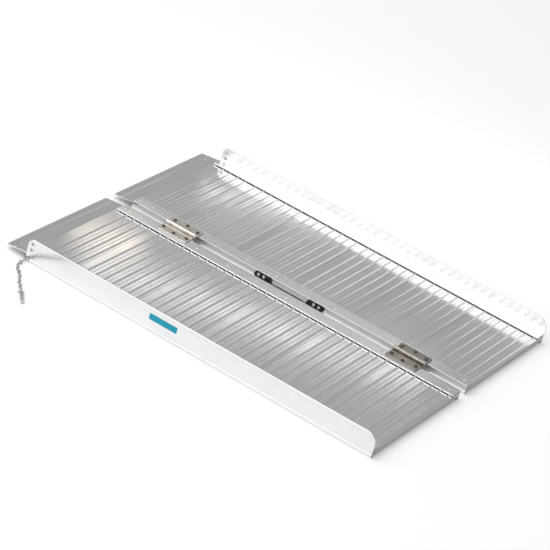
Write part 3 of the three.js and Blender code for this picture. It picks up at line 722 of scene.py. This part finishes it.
def railSection(values, kerbTop=None):
    # outline in (distance from the outer face, height), with a rounding for each corner
    v, top = values, ledgeTopZ / mm
    under, edge, fillet = top - v["ledgeThick"], v["edge"], v["fillet"]
    wide = v["ledge"] if kerbTop else v["flange"]
    shelfUnder = v["shelfTop"] - v["shelfThick"]
    points = [(0, 0, edge), (v["foot"], 0, edge), (v["foot"], v["footThick"], edge),
              (v["web"], v["footThick"], fillet), (v["web"], shelfUnder, fillet),
              (v["shelf"], shelfUnder, edge), (v["shelf"], v["shelfTop"], edge),
              (v["web"], v["shelfTop"], fillet), (v["web"], under, fillet),
              (wide, under, v["underRound"]), (wide, top, v["lipRound"])]
    if kerbTop:
        points += [(v["kerb"], top, fillet), (v["kerb"], kerbTop, v["kerbRound"]),
                   (0, kerbTop, v["kerbRound"])]
    else:
        points += [(0, top, v["seamRound"])]
    g, at, soft = v["groove"], v["grooveAt"], v["grooveRound"]
    points += [(0, at + g, soft), (g, at, soft), (0, at - g, soft)]
    points = np.array(points)
    return softened(points[:, :2], points[:, 2])


def railStations(values, chamfered):
    # where the section is repeated along the rail: close together at the shaped ends, and
    # twice at the setback, where the shelf and foot begin
    v, spacing = values, 20
    lip = [0, 0.4, 3, 6, v["heelRun"] - 0.02, v["heelRun"], 14, v["setback"], v["setback"]]
    length = (lowEndX - lipEndX) / mm
    roundFrom = length - v["endRadius"]
    middle = np.linspace(v["setback"] + spacing, roundFrom - spacing, 12)
    if not chamfered:
        return np.concatenate([lip, middle, [length]])
    turn = np.linspace(0, np.pi / 2, 13)
    low = length - v["endRadius"] * (1 - np.sin(turn))
    return np.concatenate([lip, middle, [roundFrom - 0.01], low])


def railPart(values, section, kerbTop, stations, face, toDeck):
    # the section at each station, its height and depth changed where the ends are shaped
    v, length = values, (lowEndX - lipEndX) / mm
    x = stations[:, None]
    a = np.repeat(section[None, :, 0], len(stations), 0)
    z = np.repeat(section[None, :, 1], len(stations), 0)
    if kerbTop:
        # kerb height: falls by (r - sqrt(r^2 - d^2)) in the low end's round, 45 degrees at the lip
        top = ledgeTopZ / mm
        r = v["endRadius"]
        d = np.clip(x - (length - r), 0, r)
        here = kerbTop - (r - np.sqrt(np.maximum(r * r - d * d, 0)))
        here = np.minimum(here, kerbTop - v["chamfer"] + x)
        kerbFrom = top + 0.5  # over the ledge's own rounding
        z = np.where(z > kerbFrom, top + (z - top) * (here - top) / (kerbTop - top), z)
        # heel: nothing below a line that falls over heelRun
        heel = v["heelRise"] * np.clip(1 - x / v["heelRun"], 0, 1)
        z = np.maximum(z, heel)
    # shelf and foot pulled into the web before the setback
    count = np.arange(len(stations))[:, None]
    before = count <= np.argmax(stations >= v["setback"])
    tucked = before & (z < v["shelfTop"] + 0.9 * v["fillet"]) & (a > v["web"])
    a = np.where(tucked, v["web"], a)
    points = np.stack([lipEndX + x * mm + 0 * a, face + toDeck * a * mm, z * mm], -1)
    return capped(points)


eyeletValues = dict(setback=10.5, heights=(30.0, 44.0), hole=3.1, tetherAt=8.6, tetherZ=11.0,
                    tetherHole=2.6, radius=4.4, bore=1.6, reach=1.05, gap=0.06)


def addRails(values, eyelets):
    through = 8 * mm  # the drills start and end this far from the rail's face
    for side, panel in panels.items():
        face, toDeck, kerbTop = panel["outerY"], panel["toDeck"], panel["kerbTop"]
        part = railPart(values, railSection(values, kerbTop), kerbTop,
                        railStations(values, True), face, toDeck)
        places = [(eyelets["setback"], z, eyelets["hole"]) for z in eyelets["heights"]]
        if side == "near":
            places.append((eyelets["tetherAt"], eyelets["tetherZ"], eyelets["tetherHole"]))
        holes = [drillPart(r * mm, lipEndX + x * mm, face - through, face + through, z * mm)
                 for x, z, r in places]
        addPiece(side + "SideRail", part, railAluminium, panel["body"],
                 [side + "_side_rail"], holes=holes)
        part = railPart(values, railSection(values), None, railStations(values, False),
                        panel["innerY"], -toDeck)
        addPiece(side + "InnerRail", part, railAluminium, panel["body"],
                 [side + "_inner_rail"])


addRails(railValues, eyeletValues)
print("rails made")


# deck planks
plankValues = dict(planks=5, skin=2.6, rib=1.5, ribBase=4.8, ribTop=2.2, ribPitch=21.1,
                   ribs=7, lastRib=8, bead=0.22, beadBase=1.5, beadTop=0.6, leg=2.4, legs=4,
                   edge=0.35, ribRound=0.9, beadRound=0.3, rootShare=0.7, legRound=1.0,
                   tipRound=1.1, bendRound=3.0, deckZ=19.0, plankBottom=9.0, bend=6, slope=6.0,
                   lipRibs=6, lipRib=20, lipCorner=5, lipHole=4.7, sinkWider=0.7, sinkAbove=0.4,
                   sinkBelow=0.3, drill=8, holeFromEdge=22, holeFromTip=21, firstLeg=20)


def skinAt(x, values):
    # height of the deck skin: level, then falling past the bend line at the lip's slope
    past = np.maximum(0, (lipEndX / mm - values["bend"]) - np.asarray(x, float))
    return values["deckZ"] - values["rib"] - past * math.tan(math.radians(values["slope"]))


def plankOutline(values, start, end, ribs, legs, bend=None):
    # outline in (x, z): ribbed skin above, legs below, with the rounding of each corner
    v, edge = values, values["edge"]
    top = [(start, 0, v["tipRound"] if bend else edge)]
    bumps = [(x, v["ribBase"], v["ribTop"], v["rib"], v["ribRound"]) for x in ribs]
    between = [(a + b) / 2 for a, b in zip(ribs[:-1], ribs[1:]) if b - a < 1.2 * v["ribPitch"]]
    bumps += [(x, v["beadBase"], v["beadTop"], v["bead"], v["beadRound"]) for x in between]
    for x, base, crown, high, soft in sorted(bumps):
        root = soft * v["rootShare"]
        top += [(x - base / 2, 0, root), (x - crown / 2, high, soft),
                (x + crown / 2, high, soft), (x + base / 2, 0, root)]
    if bend:
        top = sorted(top + [(bend, 0, v["bendRound"])])
    top.append((end, 0, edge))
    upper = [(x, float(skinAt(x, v)) + high, r) for x, high, r in top]
    lower = []
    if legs[0] > start:
        lower.append((start, float(skinAt(start, v)) - v["skin"], v["tipRound"]))
    if bend:
        lower.append((bend, float(skinAt(bend, v)) - v["skin"], v["bendRound"]))
    for x in legs:
        below = float(skinAt(x, v)) - v["skin"]
        if x > start:
            lower.append((x, below, v["legRound"]))
        lower += [(x, v["plankBottom"], edge), (x + v["leg"], v["plankBottom"], edge)]
        if x + v["leg"] < end:
            lower.append((x + v["leg"], below, v["legRound"]))
    points = np.array(lower + upper[::-1])
    return softened(points[:, :2], points[:, 2])


def plankRings(outline, across):
    # the outline repeated at each place across the panel
    points = np.empty((len(across), len(outline), 3))
    points[..., 0] = outline[None, :, 0]
    points[..., 1] = np.asarray(across)[:, None] / mm
    points[..., 2] = outline[None, :, 1]
    return points * mm


def addPlanks(values):
    v = values
    for side, panel in panels.items():
        low, high = corners(side + "_deck_plank_1")
        across = np.linspace(low[1], high[1], 9)
        for i in range(1, v["planks"] + 1):
            plankLow, plankHigh = corners(f"{side}_deck_plank_{i}")
            start, end = plankLow[0] / mm, plankHigh[0] / mm
            last = i == v["planks"]
            joint = end if last else corners(f"{side}_deck_plank_{i + 1}")[0][0] / mm
            ribs = sorted(joint - v["lastRib"] - k * v["ribPitch"] for k in range(v["ribs"]))
            step = (end - start - v["leg"]) / (v["legs"] - 1)
            legs = [start + k * step for k in range(v["legs"])]
            part = capped(plankRings(plankOutline(v, start, end, ribs, legs), across))
            addPiece(f"{side}DeckPlank{i}", part, deckAluminium, panel["body"],
                     [f"{side}_deck_plank_{i}"], sharp=50)
        addLipPlank(v, side, panel)


def addLipPlank(values, side, panel):
    v = values
    low, high = corners(side + "_lip_plank")
    tip, end = low[0] / mm, high[0] / mm
    joint = corners(side + "_deck_plank_1")[0][0] / mm
    ribs = [x for x in joint - v["lastRib"] - v["ribPitch"] * np.arange(v["lipRibs"])[::-1]
            if x > lipEndX / mm + v["ribPitch"] / 2]
    ribs = [tip + v["lipRib"]] + ribs
    firstLeg = lipEndX / mm + v["firstLeg"]
    legs = [firstLeg, (firstLeg + end - v["leg"]) / 2, end - v["leg"]]
    outline = plankOutline(v, tip, end, ribs, legs, lipEndX / mm - v["bend"])
    r, wide = v["lipCorner"], (high[1] - low[1]) / mm
    turn = r * (1 - np.cos(np.linspace(0, np.pi / 2, 13)))
    across = np.concatenate([turn, np.linspace(r, wide - r, 7)[1:-1], wide - turn[::-1]])
    points = plankRings(outline, low[1] + across * mm)
    # rounded corners in plan: x is at least tip + r - sqrt(r^2 - (r - d)^2), d from the side
    d = np.minimum(np.minimum(across, wide - across), r)[:, None]
    least = (tip + r - np.sqrt(np.maximum(r * r - (r - d) ** 2, 0))) * mm
    drop = math.tan(math.radians(v["slope"]))
    push = np.maximum(least - points[..., 0], 0)
    points[..., 0] += push
    points[..., 2] += push * drop
    holeX = tip + v["holeFromTip"]
    holeY = panel["outerY"] + panel["toDeck"] * v["holeFromEdge"] * mm
    z = float(skinAt(holeX, v))
    bore = np.array([(v["lipHole"], -v["drill"]), (v["lipHole"], -v["sinkBelow"]),
                     (v["lipHole"] + v["sinkWider"], v["sinkAbove"])])
    sink = capped(turned(bore * mm, 40) + np.array([holeX * mm, holeY, z * mm]))
    addPiece(side + "LipPlank", capped(points), deckAluminium, panel["body"],
             [side + "_lip_plank"], sharp=50, holes=[sink])


addPlanks(plankValues)
print("planks made")


# row rivets through the ledges and flanges
rivetValues = dict(radius=3.6, height=1.0, rim=0.15, sunk=0.6, ledgeInset=16.5, flangeInset=17.0)
ledgeRow = [17, 48, 119] + [119 + 77.4 * k for k in range(1, 10)]
rivetRows = {  # distances from the rails' lip end
    "nearLedge": ledgeRow,
    "nearFlange": [11, 24, 56, 205, 286, 362, 441, 519, 601, 685, 857],
    "farFlange": [9, 43, 70, 225, 298, 377, 454, 531, 611, 693, 859],
    "farLedge": ledgeRow,
}


def rivetPart(values):
    # low dome: radius r cos a, height h sin a, over a short rim
    a = np.linspace(0, np.pi / 2, 6)
    r, h, rim, sunk = (values[k] for k in ("radius", "height", "rim", "sunk"))
    profile = [(0, -sunk), (r * 0.96, -sunk), (r, 0.0)]
    profile += [(r * math.cos(t), rim + (h - rim) * math.sin(t)) for t in a]
    return capped(turned(np.array(profile) * mm, 20))


def addRivets(values):
    for name, row in rivetRows.items():
        panel = panels["near" if name.startswith("near") else "far"]
        if name.endswith("Ledge"):
            y = panel["outerY"] + panel["toDeck"] * values["ledgeInset"] * mm
        else:
            y = panel["innerY"] - panel["toDeck"] * values["flangeInset"] * mm
        places = [(lipEndX + x * mm, y, ledgeTopZ) for x in row]
        addPiece(name + "Rivets", copies(rivetPart(values), places), fastenerSteel,
                 panel["body"], sharp=60)


addRivets(rivetValues)


def addEyelets(values, kerbThick):
    # hollow rivet: a rolled lip on each face, closed round on itself
    v = values
    lip = np.linspace(0, np.pi, 9)
    mid, half = (v["radius"] + v["bore"]) / 2, (v["radius"] - v["bore"]) / 2
    face = kerbThick / 2 + v["gap"]
    outer = [(mid + half * math.cos(t), face + v["reach"] * math.sin(t)) for t in lip]
    loop = outer + [(r, -h) for r, h in outer[::-1]]
    points, faces = closedRound(turned(np.array(loop) * mm, 36))
    for side, panel in panels.items():
        for i, z in enumerate(v["heights"], 1):
            middle = np.array([lipEndX + v["setback"] * mm,
                               panel["outerY"] + panel["toDeck"] * kerbThick / 2 * mm, z * mm])
            addPiece(f"{side}KerbEyelet{i}", (swapped(points, "zxy") + middle, faces),
                     pinSteel, panel["body"], [f"{side}_kerb_eyelet_{i}"], sharp=60)


addEyelets(eyeletValues, railValues["kerb"])
print("rivets and eyelets set")


# hinges
hingeValues = dict(thick=2.5, knuckle=5.0, bore=2.35, sweep=318, curlEdge=0.25, underlap=2.0,
                   gap=0.4, knuckles=5, corner=2.5, pinCorner=0.4, edge=0.35, pin=2.1,
                   pinHead=3.4, pinHeadHeight=1.4)  # sweep in degrees


def curlPart(values, x1, x2, side, pinY, pinZ, plateY):
    # a strip that runs in along the leaf's underside and curls round the pin: outside
    # y = -radius sin a, z = -radius cos a for a up to the sweep, then back along the bore
    outer, inner, thick = values["knuckle"], values["bore"], values["thick"]
    a = np.radians(np.linspace(0, values["sweep"], 37))
    reach = abs(plateY - pinY) / mm
    outside = np.column_stack([-outer * np.sin(a), -outer * np.cos(a)])
    inside = np.column_stack([-inner * np.sin(a[::-1]), -inner * np.cos(a[::-1])])
    inside[-1, 1] = thick - outer
    loop = np.concatenate([[(reach, -outer)], outside, inside, [(reach, thick - outer)]])
    edge = values["curlEdge"]
    shrunk = inset(loop, edge * 0.6)
    rings = [np.column_stack([np.full(len(ring), x), pinY + side * ring[:, 0] * mm,
                              pinZ + ring[:, 1] * mm])
             for x, ring in ((x1, shrunk), (x1 + edge * mm, loop), (x2 - edge * mm, loop),
                             (x2, shrunk))]
    return capped(np.stack(rings))


def leafPlate(values, x1, x2, pinSideY, freeY, z):
    # a plate from the knuckles to its free edge, whose two corners are rounded
    low, high = min(pinSideY, freeY), max(pinSideY, freeY)
    outline = np.array([(x1, low), (x2, low), (x2, high), (x1, high)]) / mm
    rounds = [values["corner"]] * 2 + [values["pinCorner"]] * 2
    if freeY > pinSideY:
        rounds.reverse()
    rings = slab(softened(outline, rounds, 6), z / mm, z / mm + values["thick"], values["edge"])
    return capped(rings * mm)


def addHinges(values):
    v = values
    for h, hingeSteel in hingeSteels.items():
        _, pinY, pinZ = middleOf(f"hinge_{h}_pin")
        (x1, _, _), (x2, _, _) = corners(f"hinge_{h}_near_leaf")
        pitch = (x2 - x1 + v["gap"] * mm) / v["knuckles"]
        for side, panel in panels.items():
            node = f"hinge_{h}_{side}_leaf"
            low, high = corners(node)
            toLeaf = -panel["toDeck"]
            freeY = low[1] if side == "near" else high[1]
            plateY = pinY + toLeaf * (v["knuckle"] + v["gap"]) * mm
            plate = leafPlate(v, x1, x2, plateY, freeY, low[2])
            own = range(0 if side == "near" else 1, v["knuckles"], 2)
            curls = [curlPart(v, x1 + k * pitch, x1 + (k + 1) * pitch - v["gap"] * mm, toLeaf,
                              pinY, pinZ, plateY + toLeaf * v["underlap"] * mm) for k in own]
            addPiece(f"hinge{h}{side.capitalize()}Leaf", joined([plate] + curls), hingeSteel,
                     panel["body"], [node], sharp=40)
        addHingePin(v, h)


def addHingePin(values, h):
    # a pin with a domed head at each end: radius head cos a, height tall sin a
    low, high = corners(f"hinge_{h}_pin")
    half, r, head = (high[0] - low[0]) / 2 / mm, values["pin"], values["pinHead"]
    tall = values["pinHeadHeight"]
    a = np.linspace(0, np.pi / 2, 6)
    dome = [(head * math.cos(t), half - tall + tall * math.sin(t)) for t in a]
    profile = [(q, -s) for q, s in dome[::-1]] + [(r, -(half - tall)), (r, half - tall)] + dome
    rings = swapped(turned(np.array(profile) * mm, 32), "yzx")
    addPiece(f"hinge{h}Pin", capped(rings + (low + high) / 2), fastenerSteel, "near_panel",
             [f"hinge_{h}_pin"])


boltValues = dict(head=4.2, height=1.75, rim=0.45, sunk=0.5, socket=1.5, mouth=1.95,
                  mouthDepth=0.12, socketDepth=1.1, cone=0.2, lift=0.02)


def boltPart(values):
    # button head: a dome r cos a, h sin a, with a six-sided socket sunk in its top
    v, high = values, values["height"]
    a = np.linspace(0, np.pi / 2, 8)
    dome = [(v["head"] * math.cos(t), v["rim"] + (high - v["rim"]) * math.sin(t)) for t in a]
    profile = [(0, -v["sunk"]), (v["head"], -v["sunk"])]
    profile += [p for p in dome if p[0] > v["mouth"]] + [(v["mouth"], high)]
    sixFrom = len(profile)
    profile += [(v["socket"], high - v["mouthDepth"]), (v["socket"], high - v["socketDepth"]),
                (0, high - v["socketDepth"] - v["cone"])]

    def sixSided(r, angle):
        # distance to a hexagon's side: flat / cos(angle within its sixth)
        within = (angle + np.pi / 6) % (np.pi / 3) - np.pi / 6
        out = r.copy()
        out[sixFrom:] = r[sixFrom:] / np.cos(within)
        return out
    return capped(turned(np.array(profile), 36, sixSided) * mm)


def addBolts(values):
    points, faces = boltPart(values)
    for h in hingeSteels:
        for side, panel in panels.items():
            for b in (1, 2, 3):
                node = f"hinge_{h}_{side}_bolt_{b}"
                seat = middleOf(node)
                seat[2] = corners(node)[1][2] - (values["height"] + values["lift"]) * mm
                addPiece(f"hinge{h}{side.capitalize()}Bolt{b}", (points + seat, faces),
                         boltSteelPaintedShade, panel["body"], [node], sharp=40)


addHinges(hingeValues)
addBolts(boltValues)
print("hinges made")


# carrying handle on the far panel's seam face
handleValues = dict(slant=9.0, nose=10.5, rounds=(3.0, 2.0, 1.0, 0.5), edge=0.8, strapSag=0.4,
                    strapRound=1.5, strapThick=0.86, strapTall=0.78, swell=0.1, swellFrom=0.55,
                    ripple=0.0048, ripples=22)
handleScrewValues = dict(head=3.3, height=1.2, rim=0.25, sunk=0.3, openFrom=1.9, drive=1.75,
                         driveWall=1.65, driveFloor=1.3, driveDepth=0.8, cone=1.0, pinch=0.42)


def addHandle(values):
    # feet: a half-round end and a slanted end towards the strap, raised out of the seam face
    v = values
    gripLow, gripHigh = corners("handle_grip")
    middleX = (gripLow[0] + gripHigh[0]) / 2
    for i in (1, 2):
        low, high = corners(f"handle_foot_{i}")
        out = -1 if high[0] < middleX else 1
        long, deep, tall = (high - low) / mm
        r = tall / 2
        a = np.linspace(-np.pi / 2, np.pi / 2, 15)
        roundEnd = np.column_stack([long - r + r * np.cos(a), r + r * np.sin(a)])
        slope = np.array([(v["slant"], tall), (0.0, v["nose"]), (0.0, 0.0), (long / 2, 0.0)])
        slantEnd = softened(slope, v["rounds"], 4)[:-5]  # all but the last corner's points
        rings = slab(np.concatenate([slantEnd, roundEnd]), 0, deep, v["edge"], 6)
        grip = (high[0] if out < 0 else low[0]) / mm
        points = np.stack([grip + out * rings[..., 0], high[1] / mm - rings[..., 2],
                           low[2] / mm + rings[..., 1]], -1) * mm
        addPiece(f"handleFoot{i}", capped(points), blackNylon, "far_panel",
                 [f"handle_foot_{i}"], sharp=50)
    addGrip(v, gripLow, gripHigh)


def addGrip(values, low, high):
    # strap: a rounded section carried along x, dipping by sag (1 - u^2), u from -1 to 1, and
    # thicker in the middle
    v = values
    long, thick, tall = (high - low) / mm
    u = np.linspace(-1, 1, 61)
    outwards = np.clip((np.abs(u) - v["swellFrom"]) / (1 - v["swellFrom"]), 0, 1)
    swell = v["swell"] * (0.5 + 0.5 * np.cos(outwards * np.pi))
    swell += v["ripple"] * (np.abs(u) < 0.5) * np.cos(u * np.pi * v["ripples"])
    square = np.array([(-0.5, -0.5), (0.5, -0.5), (0.5, 0.5), (-0.5, 0.5)])
    section = softened(square * [thick, tall], v["strapRound"], 5)
    middle = (low + high) / 2
    dip = v["strapSag"] * (1 - u ** 2)[:, None]
    y = middle[1] + section[None, :, 0] * (v["strapThick"] + swell)[:, None] * mm
    z = middle[2] + (section[None, :, 1] * (v["strapTall"] + swell)[:, None] - dip) * mm
    x = middle[0] + u[:, None] * long / 2 * mm + 0 * y
    addPiece("handleGrip", capped(np.stack([x, y, z], -1)), blackNylon, "far_panel",
             ["handle_grip"], sharp=60)


def addHandleScrews(values):
    # pan heads with a crossed drive: the socket's radius swings with |cos 2a|
    v = values
    head, tall = v["head"], v["height"]
    a = np.linspace(0, np.pi / 2, 7)
    dome = [(head * math.cos(t), v["rim"] + (tall - v["sunk"]) * math.sin(t)) for t in a]
    profile = [(0, -v["sunk"]), (head, -v["sunk"])] + [p for p in dome if p[0] > v["openFrom"]]
    crossFrom = len(profile) + 1
    profile += [(v["drive"], tall - 0.02), (v["driveWall"], tall - 0.15),
                (v["driveFloor"], tall - v["driveDepth"]), (0, tall - v["cone"])]

    def crossed(r, angle):
        out = r.copy()
        swing = v["pinch"] + (1 - v["pinch"]) * np.abs(np.cos(2 * angle)) ** 3
        out[crossFrom:] = r[crossFrom:] * swing
        return out
    points, faces = capped(turned(np.array(profile), 40, crossed) * mm)
    for i in (1, 2, 3, 4):
        seat = middleOf(f"handle_screw_{i}")
        seat[1] = corners(f"handle_screw_{i}")[0][1] + tall * mm
        placed = seat + np.column_stack([points[:, 0], -points[:, 2], points[:, 1]])
        addPiece(f"handleScrew{i}", (placed, faces), fastenerSteel, "far_panel",
                 [f"handle_screw_{i}"], sharp=40)


addHandle(handleValues)
addHandleScrews(handleScrewValues)
print("handle made")


# plain stickers on the near rail's outer face
stickerValues = dict(thick=0.18, corner=1.5, edge=0.05, lift=0.02)
stickers = {  # finish, from and to along the rail, low and high, and the layers beneath
    "whiteStrip": (whiteVinyl, -98, 104, 25, 43, 0),
    "bluePatch": (blueVinyl, -94, -24, 27, 41, 1),
    "whiteLabel": (whiteVinyl, 250, 387, 11, 46, 0),
}


def addStickers(values):
    for name, (finish, x1, x2, z1, z2, layers) in stickers.items():
        outline = softened(np.array([(x1, z1), (x2, z1), (x2, z2), (x1, z2)], float),
                           values["corner"], 6)
        rings = slab(outline, 0, values["thick"], values["edge"], 3)
        lift = values["lift"] + layers * values["thick"]
        points = np.stack([rings[..., 0] * mm, nearLow[1] - (lift + rings[..., 2]) * mm,
                           rings[..., 1] * mm], -1)
        addPiece(name, capped(points), finish, "near_panel")


addStickers(stickerValues)
print("stickers placed")


# studio floor, sky and soft lights
studioValues = dict(floorSize=30, floorColor=(0.93, 0.93, 0.93, 1), front=1.0, back=0.45,
                    frontFrom=-0.35, backFrom=0.45)  # floor size in metres
softboxes = {  # in metres: where it stands, what it faces, its size; then watts and colour
    "topBox": ((-1.2, -0.8, 4.0), (0, 0, 0), (6.0, 5.0), 95, (1, 1, 1)),
    # low cards beyond the ramp, each mirrored as a band in one part of the deck
    "bandBox": ((-0.52, 1.05, 0.752), (-0.1, -0.17, 0.02), (0.95, 0.05), 0.18, (1, 0.97, 0.93)),
    "warmBox": ((-1.0, 1.05, 0.752), (-0.33, -0.17, 0.02), (0.2, 0.055), 0.05, (1, 0.88, 0.74)),
    "farBox": ((-0.5, 1.05, 0.413), (-0.1, 0.33, 0.02), (0.5, 0.03), 0.05, (1, 1, 1)),
    "ribBox": ((0.30, 1.05, 0.348), (-0.2, 0.2, 0.02), (0.55, 0.10), 0.26, (1, 1, 1)),
    "ribBoxLow": ((0.76, 1.05, 0.272), (0.25, 0.2, 0.02), (0.45, 0.10), 0.22, (1, 1, 1)),
    # on the camera's side, for the kerbs
    "kerbBox": ((-0.7, -1.45, 0.97), (0.0, 0.3, 0.02), (1.5, 0.4), 1.9, (1, 1, 1)),
}


def addFloor(values):
    half = values["floorSize"] / 2
    mesh = bpy.data.meshes.new("floor")
    mesh.from_pydata([(-half, -half, 0), (half, -half, 0), (half, half, 0), (-half, half, 0)],
                     [], [(0, 1, 2, 3)])
    floor = addObject("floor", mesh)
    material, tree, surface, place = startMaterial("floorPaper")
    fibres = noise(tree, place, 40.0)
    tree.links.new(spread(tree, fibres, 0, 1, 0.85, 0.95), surface.inputs["Roughness"])
    surface.inputs["Base Color"].default_value = values["floorColor"]
    surface.inputs["Specular IOR Level"].default_value = 0.1
    mesh.materials.append(material)


def addSky(values):
    # bright on the camera's side, grey beyond the ramp, where its flat tops mirror it
    world = bpy.data.worlds.new("studio")
    bpy.context.scene.world = world
    world.use_nodes = True
    tree = world.node_tree
    tree.nodes.clear()
    ray = addNode(tree, "ShaderNodeTexCoord").outputs["Generated"]
    beyond = addNode(tree, "ShaderNodeSeparateXYZ", {0: ray}).outputs["Y"]
    tone = spread(tree, beyond, values["frontFrom"], values["backFrom"], values["front"],
                  values["back"])
    back = addNode(tree, "ShaderNodeBackground", {"Color": tone})
    end = addNode(tree, "ShaderNodeOutputWorld")
    tree.links.new(back.outputs[0], end.inputs[0])


def addSoftboxes():
    for name, (place, target, size, watts, color) in softboxes.items():
        light = bpy.data.lights.new(name, "AREA")
        light.shape, light.size, light.size_y = "RECTANGLE", *size
        light.energy, light.color = watts, color
        lamp = addObject(name, light)
        lamp.location = place
        lamp.visible_camera = False
        lamp.rotation_mode = "QUATERNION"
        lamp.rotation_quaternion = (Vector(target) - Vector(place)).to_track_quat("-Z", "Y")


addFloor(studioValues)
addSky(studioValues)
addSoftboxes()
bpy.context.scene.view_settings.view_transform = "Standard"
print("studio lit")
